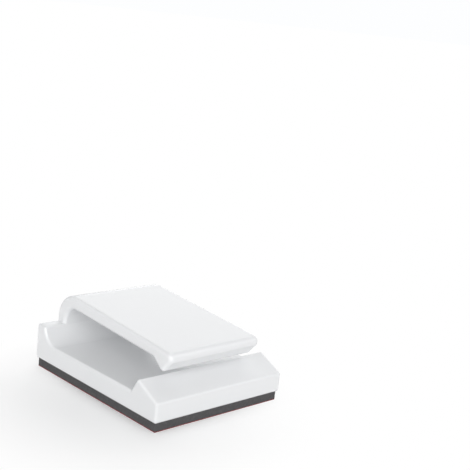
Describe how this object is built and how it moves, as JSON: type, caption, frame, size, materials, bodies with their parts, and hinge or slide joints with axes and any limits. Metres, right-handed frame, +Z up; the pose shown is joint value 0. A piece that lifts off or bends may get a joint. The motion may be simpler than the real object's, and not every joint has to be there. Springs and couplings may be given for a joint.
{
  "type": "adhesive cable clip",
  "caption": "Small white moulded clip with a hooked cover over a cable channel, on a grey foam adhesive pad with its release liner.",
  "frame": {"origin": "centre of the clip's underside, on the face of the release liner", "axes": "+X along the cable, -Y towards the side where the cable is pushed in, +Z up from the surface that the clip is stuck to"},
  "size_m": [0.0124, 0.015, 0.006],
  "materials": {
    "white_plastic": "satin moulded white",
    "grey_foam": "closed-cell foam, cut edges",
    "red_film": "thin glossy release film"
  },
  "bodies": {
    "root": {"clip_body": "white_plastic", "foam_pad": "grey_foam", "release_liner": "red_film"}
  },
  "joints": []
}
